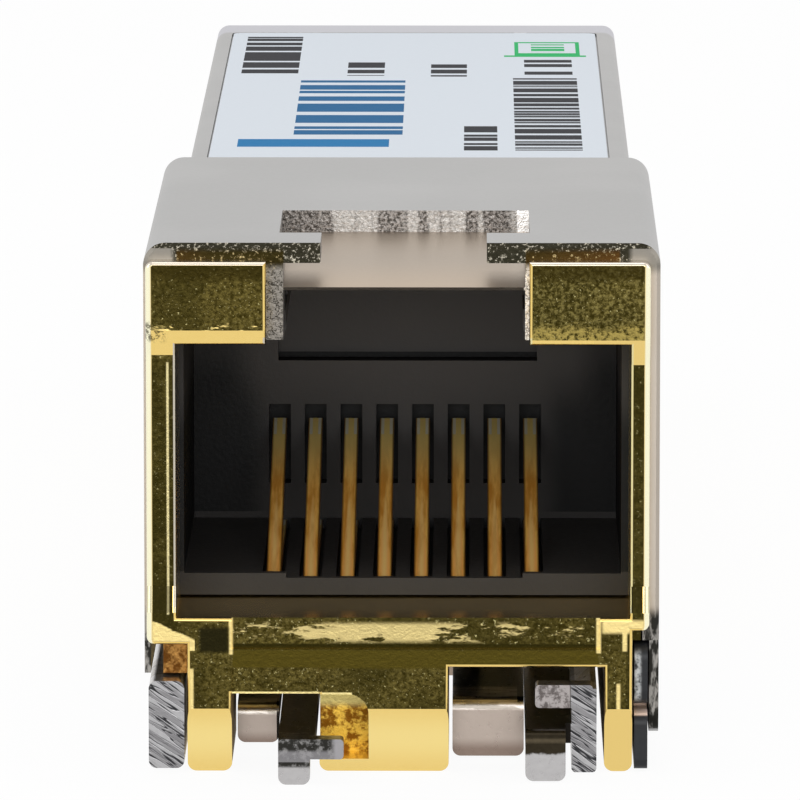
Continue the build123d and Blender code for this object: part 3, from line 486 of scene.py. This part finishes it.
def gold():
    s = Sheet("plated_gold")
    grain = s.noise(9000.0)
    patches = s.noise(7500.0, 4.0, 0.75)
    waves = s.noise(1500.0, 4.0, 0.75, (0.45, 1.0, 1.6))
    # The foot of each jamb slopes back and gets the painted dark reflection too, which is nearly
    # black there
    foot = s.px.within(-6.77, -6.22, 0.01) + s.px.within(6.24, 6.54, 0.01)
    foot = foot * s.pz.between(4.3 * mm, 6.2 * mm) * s.nz.fade(0.03, 0.10)
    lower = (-s.nz).fade(0.12, 0.20)
    forward = ((-s.ny).fade(0.966, 0.990) * (1.0 - lower)).math("MAXIMUM", foot)
    inward = s.nx.size().above(0.85) * s.pz.below(2.3 * mm) * s.side.below(5.6 * mm)
    dark_square = s.field(-5.5, -4.7, 3.35, 4.05, 0.08)
    # Painted highlights: a thin line down the left jamb and one under the sill
    jamb_line = s.field(-6.37, -6.31, 4.4, 11.3, 0.02)
    line_under_sill = s.field(-4.65, -1.35, 2.16, 2.25, 0.02)
    painted_front_shading = s.layers(
        sill_painted_shading(s, waves, block_painted_shading(s, waves)),
        (painted_pale_highlights(s, waves), (0.62, 0.49, 0.20)),
        (dark_square, (0.014, 0.012, 0.004)),
        (jamb_line, (0.50, 0.43, 0.22)),
        (line_under_sill, (0.66, 0.545, 0.235)))
    # Painted near-black reflection on the feet of the jambs
    painted_front_shading = s.mix(foot * 0.7, deep_painted_shading(s, painted_front_shading), (0.010, 0.008, 0.002))
    fine = s.bump(grain, 0.06, 0.00002)
    return s.finish(
        Base_Color=s.mix(forward, bright_gold(s, lower, inward), painted_front_shading),
        Metallic=1.0 - inward,
        Roughness=0.17 + 0.08 * grain + forward * 0.14 + inward * 0.60,
        Normal=s.bump(patches * forward, 0.30, 0.00008, fine))


wear(gold(), "base_shell")
print("gold on base_shell")

# %% [markdown]
# ## Black plastic
# The jack is moulded from a glass-filled black plastic. A fine noise in the bump and the roughness
# gives it its grain. It gets painted shade beside the contacts and in the slots behind them, and a
# painted paler tone in its upper half, where more light comes in. A low specular level keeps it
# black where light grazes it. The cases of the chips are plainer. The rubber strip has a painted
# grey highlight in the middle and a pale line below that.

# %% Plastic finishes
def black_base(s, colour):
    cloud = s.noise(400.0, 2.0, 0.5)
    return s.mix(cloud, colour, tuple(channel * 1.6 for channel in colour))


def black_plastic(name, colour, rough):
    s = Sheet(name)
    grain = s.noise(7000.0)
    return s.finish(
        Base_Color=black_base(s, colour), Roughness=rough + 0.15 * grain,
        Normal=s.bump(grain, 0.25, 0.00003), Specular_IOR_Level=0.5)


def jack_plastic():
    s = Sheet("jack_plastic")
    grain = s.noise(7000.0)
    beside = s.side.fade(3.7 * mm, 4.6 * mm) * (1.0 - s.pz.fade(8.6 * mm, 10.2 * mm))
    beside = beside * s.pz.above(5.0 * mm)
    in_slots = s.depth.above(13.05 * mm) * s.px.within(-4.2, 4.2) * s.pz.below(9.5 * mm)
    upper = s.pz.fade(7.5 * mm, 9.8 * mm) * s.px.within(-4.6, 5.2, 0.6) * (1.0 - in_slots)
    shade = s.layers(
        black_base(s, (0.026, 0.0240, 0.0230)),
        # Painted shade beside the contacts and in the slots behind them
        (beside.math("MAXIMUM", in_slots), (0.002, 0.002, 0.002)),
        # Painted light in the upper half
        (upper, (0.066, 0.060, 0.056)))
    return s.finish(
        Base_Color=shade, Roughness=0.42 + 0.15 * grain,
        Normal=s.bump(grain, 0.25, 0.00003), Specular_IOR_Level=0.18)


def strip_rubber():
    s = Sheet("strip_rubber")
    grain = s.noise(7000.0)
    rubber = s.mix(grain, (0.010, 0.011, 0.013), (0.018, 0.019, 0.022))
    # Painted grey highlight in the middle of the strip
    painted_highlight = s.px.within(6.32, 6.50, 0.06) * s.pz.within(2.0, 3.3, 0.15) * grain.fade(0.3, 0.6)
    bend = s.pz.within(1.55, 1.73, 0.03)
    colour = s.layers(rubber, (painted_highlight, (0.45, 0.47, 0.49)), (bend, (0.90, 0.70, 0.60)))
    return s.finish(
        Base_Color=colour, Roughness=0.30 + 0.15 * grain,
        Normal=s.bump(grain, 0.25, 0.00003), Specular_IOR_Level=0.25)


wear(jack_plastic(), "jack_housing", "jack_rear_insert")
wear(strip_rubber(), "side_strip")
wear(black_plastic("chip_case", (0.030, 0.030, 0.032), 0.50),
     "magnetics_front", "magnetics_rear", "large_chip", "memory_chip")
print("plastic finishes made")

# %% [markdown]
# ## Contacts
# Eight springs of a copper alloy carry the signals. Their plating is thin and coppery, with a
# streak along each wire where it was drawn. A painted highlight shaped like a flame runs along
# each from its low front end and tapers off on the way up. The sides of the wires get painted dark
# shade, and a pale fleck sits at each side of the top.

# %% Contact finish
contact_pitch = 1.016 * mm


def contact_metal():
    s = Sheet("contact_gold")
    streak = s.noise(5200.0, 3.0, 0.6, (1.0, 0.10, 0.10))
    # Distance from the middle of the wire, from the pitch of the row
    off = ((s.px * (1.0 / contact_pitch)).math("FRACT") - 0.5).size() * contact_pitch
    # Painted shade on the sides of the wires
    sides = off.fade(0.13 * mm, 0.20 * mm)
    taper = 1.0 - s.depth.fade(3.5 * mm, 9.8 * mm)
    # Painted highlight shaped like a flame, tapering off towards the back
    flame = 1.0 - (off - taper * (0.17 * mm)).fade(-0.03 * mm, 0.02 * mm)
    flame = flame * taper.fade(0.0, 0.2) * (0.55 + 0.45 * streak.fade(0.35, 0.6))
    body = s.mix(streak.fade(0.35, 0.65), (0.70, 0.29, 0.035), (1.0, 0.57, 0.13))
    glow = s.mix(off.fade(0.0, 0.15 * mm), (1.0, 0.64, 0.22), (1.0, 0.46, 0.10))
    fleck = s.depth.above(12.2 * mm) * off.between(0.08 * mm, 0.16 * mm)
    colour = s.layers(
        body,
        (s.depth.fade(9.0 * mm, 12.5 * mm), (0.78, 0.58, 0.19)),
        (flame, glow),
        (sides, (0.10, 0.040, 0.006)),
        (fleck, (0.62, 0.58, 0.45)))
    return s.finish(
        Base_Color=colour, Metallic=0.35, Roughness=0.34 + 0.15 * streak,
        Specular_IOR_Level=0.3, Normal=s.bump(streak, 0.2, 0.00002))


wear(contact_metal(), *["contact_%d" % i for i in range(1, 9)])
print("contact metal made")

# %% [markdown]
# ## Steel
# The release slide is bent from bright stainless sheet. Where its arms were sheared off at the
# front, the cut left fine slanting scratches. Its plates are a warm grey, brown at the bottom and
# dark at the very top.

# %% Sheared ends and plates
def sheared_ridges(s):
    cut = s.scratches(34.0, 6000.0, 0.08)
    ridges = cut.line(0.52, 0.012, 0.030).math("MAXIMUM", cut.line(0.38, 0.008, 0.02))
    shine = s.mix(cut.fade(0.35, 0.65), (0.20, 0.195, 0.20), (0.38, 0.375, 0.38))
    return ridges, s.mix(ridges, shine, (0.030, 0.030, 0.032))


def plate_grey(s, streaks):
    warm = s.mix(s.pz.fade(0.35 * mm, 0.75 * mm), (0.22, 0.165, 0.135), (0.40, 0.335, 0.29))
    right_top = s.pz.fade(1.80 * mm, 1.92 * mm) * s.px.above(0.0) * streaks.fade(0.42, 0.52)
    left_top = s.pz.fade(1.70 * mm, 1.85 * mm) * s.px.below(0.0)
    return s.layers(
        warm,
        (right_top, (0.085, 0.080, 0.070)),
        (left_top, (0.10, 0.085, 0.035)))


print("plates described")

# %% [markdown]
# The two hooks are polished, with a painted reflection: dark above, where they face away from the
# table, and pale below. The left one is mottled, with a pale end to its finger and a paler band
# low in its dark part.

# %% Hooks
def hook_steel(s, mottle):
    right = s.px.above(0.0)
    left = s.px.below(0.0)
    # Height of the turn from pale to dark, which lies higher on the right hook
    turn = s.pz + (mottle - 0.5) * (0.16 * mm) - right * (0.32 * mm)
    left_dark = s.mix(mottle.fade(0.46, 0.64), (0.026, 0.025, 0.022), (0.20, 0.195, 0.19))
    right_dark = s.mix(mottle, (0.018, 0.014, 0.009), (0.040, 0.032, 0.020))
    dark = s.mix(right, left_dark, right_dark)
    # Painted reflection: pale below the turn, dark above it
    painted_reflection = s.mix(turn.fade(0.44 * mm, 0.52 * mm), (0.40, 0.39, 0.39), dark)
    finger_end = s.px.fade(-1.95 * mm, -1.75 * mm) * left
    low_rim = (1.0 - s.pz.fade(0.86 * mm, 0.98 * mm)) * s.pz.above(0.62 * mm) * left * 0.6
    return s.mix(finger_end.math("MAXIMUM", low_rim), painted_reflection, (0.30, 0.29, 0.30))


print("hooks described")

# %% [markdown]
# What the slide turns up or sideways inside the module lies in the dark, so the steel there gets
# painted dark shade, as do its front faces other than the sheared ends and the tab, and the strip
# beside the left plate. The bends get a painted darker, streaky reflection. The cut edges that look
# at each other across a gap are dull, with painted dark shade. The small steel pieces, with the
# collar round the body, share a plain brushed finish.

# %% Steel finishes
def slide_steel():
    s = Sheet("slide_steel")
    grain = s.noise(6000.0)
    mottle = s.noise(5200.0, 3.0, 0.7)
    streaks = s.noise(4200.0, 3.0, 0.6, (0.18, 1.0, 1.0))
    ridges, sheared = sheared_ridges(s)
    cloudy = s.mix(mottle.fade(0.40, 0.60), (0.12, 0.105, 0.10), (0.36, 0.33, 0.32))
    front_face = s.depth.between(-0.1 * mm, 0.1 * mm)
    ends = front_face * (s.px.below(-5.8 * mm) + s.px.above(4.6 * mm))
    tab = front_face * s.px.within(3.5, 4.58) * s.pz.above(1.6 * mm)
    plates = s.depth.above(1.0 * mm)
    hooks = s.depth.below(-0.5 * mm)
    # The bends get a painted darker, streaky reflection
    bend = s.nz.fade(0.04, 0.14) * s.depth.between(1.0 * mm, 3.4 * mm)
    bent = s.mix(streaks.fade(0.44, 0.54), (0.20, 0.18, 0.155), (0.42, 0.385, 0.35))
    # Painted dark shade beside the left plate
    beside_plate = plates * s.px.between(-3.45 * mm, -3.2 * mm)
    face = s.layers(
        # Front faces other than the sheared ends get painted dark shade
        s.mix(ends, (0.014, 0.012, 0.010), sheared),
        (tab, cloudy),
        (plates, plate_grey(s, streaks)),
        (hooks, hook_steel(s, mottle)),
        (bend, bent),
        (beside_plate, (0.014, 0.012, 0.010)))
    plate_tops = s.px.below(-3.45 * mm) + s.px.between(1.0 * mm, 3.15 * mm)
    plate_tops = plate_tops * (1.0 - s.depth.fade(3.0 * mm, 3.4 * mm))
    # Painted dark shade on faces that look up inside the module
    upward = s.nz.fade(0.55, 0.75) * s.pz.below(1.95 * mm) * s.depth.above(-0.75 * mm)
    plain = s.layers(
        s.mix(grain.fade(0.35, 0.7), (0.52, 0.50, 0.49), (0.66, 0.64, 0.63)),
        (bend, bent),
        (upward * (1.0 - plate_tops), (0.012, 0.011, 0.009)))
    # Painted dark shade on cut edges that face each other across a gap
    cut_edge = s.nx.size().above(0.85) * s.pz.below(1.98 * mm)
    cut_edge = cut_edge * s.px.between(-5.5 * mm, 4.5 * mm) * s.depth.above(-0.5 * mm)
    forward = (-s.ny).fade(0.90, 0.98)
    colour = s.mix(forward.math("MAXIMUM", hooks), plain, face)
    height = grain * 0.3 - ridges * ends * forward
    return s.finish(
        Base_Color=s.mix(cut_edge, colour, (0.050, 0.045, 0.038)),
        Metallic=1.0 - cut_edge,
        Roughness=0.22 + 0.15 * grain + cut_edge * 0.6,
        Normal=s.bump(height, 0.25, 0.00004))


def brushed_steel(name):
    s = Sheet(name)
    grain = s.noise(2600.0, 3.0, 0.6, (1.0, 0.12, 1.0))
    colour = s.mix(grain.fade(0.3, 0.7), (0.53, 0.51, 0.50), (0.60, 0.58, 0.57))
    return s.finish(
        Base_Color=colour, Metallic=1.0, Roughness=0.26 + 0.08 * grain,
        Normal=s.bump(grain, 0.05, 0.00002))


wear(slide_steel(), "release_slide")
wear(brushed_steel("small_steel"), "latch_lever", "latch_pin", "leaf_spring", "slide_rivets",
     "cover_screws", "ground_collar", "crystal")
print("steel finishes made")

# %% [markdown]
# ## Board
# The circuit board is green solder mask over copper, with bare gold pads on its edge. Paler lanes
# under the mask run towards the pads. The small components get a plain finish each.

# %% Board and small components
def solder_mask():
    s = Sheet("board_green")
    lanes = (s.px * 5200.0).math("SINE").fade(0.6, 0.8) * s.py.above(-10.0 * mm)
    colour = s.mix(lanes, (0.012, 0.075, 0.030), (0.030, 0.150, 0.060))
    return s.finish(
        Base_Color=colour, Roughness=0.32, Coat_Weight=0.4,
        Normal=s.bump(lanes, 0.3, 0.00002))


def plain_finish(name, low, high, rough, metallic=0.0):
    s = Sheet(name)
    cloud = s.noise(3000.0)
    return s.finish(
        Base_Color=s.mix(cloud, low, high), Metallic=metallic,
        Roughness=rough + 0.15 * cloud, Normal=s.bump(cloud, 0.15, 0.00003))


wear(solder_mask(), "circuit_board")
wear(plain_finish("pad_gold", (0.78, 0.55, 0.18), (0.90, 0.68, 0.28), 0.18, 1.0), "edge_pads")
wear(plain_finish("ferrite", (0.07, 0.07, 0.075), (0.13, 0.13, 0.135), 0.55), "inductor")
wear(plain_finish("fired_ceramic", (0.36, 0.25, 0.15), (0.48, 0.35, 0.22), 0.40), "capacitors")
wear(plain_finish("soft_pad", (0.30, 0.38, 0.46), (0.38, 0.46, 0.54), 0.70), "thermal_pad")
print("board finishes made")

# %% [markdown]
# ## Label
# The label is coated white paper. Its print is kept to plain fields: groups of dark bars, a block
# of blue bars with one plain blue bar in front of it, and a small green frame with bars in it. Each
# field is a product of comparisons on the place of a point. The bars are noise that was stretched
# across the body until it changes only along it.

# %% Label finish
def label_paper():
    s = Sheet("label_paper")
    ink = (0.020, 0.020, 0.024)
    green = (0.020, 0.43, 0.13)

    def area(x0, x1, y0, y1):
        """A rectangle, in millimetres across and behind the front face."""
        return s.px.between(x0 * mm, x1 * mm) * s.depth.between(y0 * mm, y1 * mm)

    def bars(x0, x1, y0, y1, scale, level):
        """Bars of uneven width that run across."""
        uneven = s.noise(scale, 1.0, 0.5, (0.002, 1.0, 0.002))
        return area(x0, x1, y0, y1) * uneven.above(level)

    fibre = s.noise(5000.0)
    frame_lines = area(3.3, 5.45, 57.3, 60.9) - area(3.43, 5.32, 57.9, 60.6)
    frame_lines = frame_lines + bars(3.85, 4.95, 58.2, 60.3, 2600.0, 0.5)
    frame_lines = frame_lines + area(2.95, 5.65, 56.9, 57.3)
    colour = s.layers(
        s.mix(fibre, (0.68, 0.73, 0.79), (0.72, 0.765, 0.82)),
        (bars(-5.6, -3.75, 52.3, 62.3, 1500.0, 0.44), ink),
        (bars(-2.15, -0.95, 51.9, 55.4, 1500.0, 0.46), ink),
        (bars(0.56, 1.73, 51.7, 54.9, 1500.0, 0.44), ink),
        (bars(1.65, 2.68, 33.7, 39.8, 1500.0, 0.46), ink),
        (bars(3.22, 5.28, 33.7, 51.3, 2100.0, 0.47), ink),
        (bars(3.6, 5.16, 52.2, 56.2, 900.0, 0.5), ink),
        (bars(-3.62, -0.25, 37.2, 50.7, 1100.0, 0.47), (0.012, 0.115, 0.27)),
        (frame_lines, green),
        (area(-5.3, -0.65, 34.5, 36.3), (0.012, 0.175, 0.40)))
    return s.finish(
        Base_Color=colour, Roughness=0.6 + 0.1 * fibre, Specular_IOR_Level=0.08,
        Normal=s.bump(fibre, 0.1, 0.00002))


wear(label_paper(), "label")
print("label made")

# %% [markdown]
# ## Shade sheet under the insert
# A low gap under the jack's rear insert would let the table shine into the socket through the
# latch's window. A strip of dark sheet, put there only to keep the socket in shade, closes the
# gap. It rides on the module, as the jack does.

# %% Shade sheet
shade_sheet_low = 4.30 * mm           # the inside of the shell's floor
shade_sheet_high = 4.83 * mm          # just past the underside of the insert
shade_sheet_size = (10.0 * mm, 0.1 * mm, shade_sheet_high - shade_sheet_low)
shade_sheet_place = (0.0, front_y + 13.15 * mm, (shade_sheet_low + shade_sheet_high) / 2.0)
# A dark sheet put in the gap only for shade
bpy.ops.mesh.primitive_cube_add(size=1.0, location=shade_sheet_place)
shade_sheet = bpy.context.object
shade_sheet.name = "jack_shade_sheet"
shade_sheet.data.transform(Matrix.Diagonal((*shade_sheet_size, 1.0)))
shade_sheet.data.materials.append(black_plastic("shade_sheet_black", (0.010, 0.010, 0.010), 0.60))
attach(shade_sheet, "module")
print("film at", shade_sheet_place)

# %% [markdown]
# ## Floor and light
# The module stands on a pale table under soft light. The table's finish is mixed with a white
# glow, but only for rays that come from the camera or from a mirror, so the table looks white and
# still throws little light of its own on the part. A share of the plain finish keeps the shadow.

# %% Floor
def seen_by_eye(tree):
    """1 for rays that come from the camera, or from a mirror or glass."""
    path = tree.nodes.new("ShaderNodeLightPath")
    either = tree.nodes.new("ShaderNodeMath")
    either.operation = "MAXIMUM"
    tree.links.new(path.outputs["Is Camera Ray"], either.inputs[0])
    tree.links.new(path.outputs["Is Glossy Ray"], either.inputs[1])
    most = tree.nodes.new("ShaderNodeMath")
    most.operation = "MAXIMUM"
    tree.links.new(either.outputs[0], most.inputs[0])
    tree.links.new(path.outputs["Is Transmission Ray"], most.inputs[1])
    return most


glow_share = 0.94


def floor_finish():
    s = Sheet("pale_floor")
    cloud = s.noise(40.0, 2.0, 0.5)
    colour = s.mix(cloud, (0.92, 0.92, 0.92), (0.94, 0.94, 0.94))
    material = s.finish(Base_Color=colour, Roughness=0.8)
    glow = s.tree.nodes.new("ShaderNodeEmission")
    glow.inputs["Strength"].default_value = 1.0
    share = s.tree.nodes.new("ShaderNodeMath")
    share.operation = "MULTIPLY"
    share.inputs[1].default_value = glow_share
    s.tree.links.new(seen_by_eye(s.tree).outputs[0], share.inputs[0])
    both = s.tree.nodes.new("ShaderNodeMixShader")
    s.tree.links.new(share.outputs[0], both.inputs[0])
    s.tree.links.new(s.surface.outputs[0], both.inputs[1])
    s.tree.links.new(glow.outputs[0], both.inputs[2])
    s.tree.links.new(both.outputs[0], s.tree.nodes["Material Output"].inputs[0])
    return material


bpy.ops.object.select_all(action="DESELECT")
bpy.ops.mesh.primitive_plane_add(size=6.0, location=(0.0, 0.0, 0.0))
floor = bpy.context.object
floor.name = "table"
floor.data.materials.append(floor_finish())
print("floor at", floor.location[2])

# %% [markdown]
# The surround is one plain level of light. What looks at it by eye, or in a mirror, sees it white,
# and what it lights gets half of that. The strongest lamp stands in front, a large one hangs
# overhead, and a weaker one stands on each side.

# %% World and lamps
world = bpy.data.worlds.new("room")
scene.world = world
world.use_nodes = True
back = world.node_tree.nodes["Background"]
back.inputs["Color"].default_value = (1.0, 1.0, 1.0, 1.0)
level = world.node_tree.nodes.new("ShaderNodeMath")
level.operation = "MULTIPLY_ADD"
light_level = 0.50
white_level = 1.0
level.inputs[1].default_value = white_level - light_level
level.inputs[2].default_value = light_level
world.node_tree.links.new(seen_by_eye(world.node_tree).outputs[0], level.inputs[0])
world.node_tree.links.new(level.outputs[0], back.inputs["Strength"])


def lamp(name, size, power, place, target):
    data = bpy.data.lights.new(name, "AREA")
    data.shape = "RECTANGLE"
    data.size = size[0]
    data.size_y = size[1]
    data.energy = power
    thing = bpy.data.objects.new(name, data)
    thing.location = place
    thing.rotation_euler = (Vector(target) - Vector(place)).to_track_quat("-Z", "Y").to_euler()
    scene.collection.objects.link(thing)


lamp("top_lamp", (0.30, 0.30), 0.40, (0.0, 0.05, 0.40), (0.0, 0.0, 0.0))
lamp("left_lamp", (0.15, 0.30), 0.22, (-0.30, -0.05, 0.15), (0.0, 0.0, 0.005))
lamp("right_lamp", (0.15, 0.30), 0.22, (0.30, -0.05, 0.15), (0.0, 0.0, 0.005))
lamp("front_lamp", (0.40, 0.25), 0.9, (0.0, -0.42, 0.13), (0.0, -0.025, 0.008))
print("lamps set")
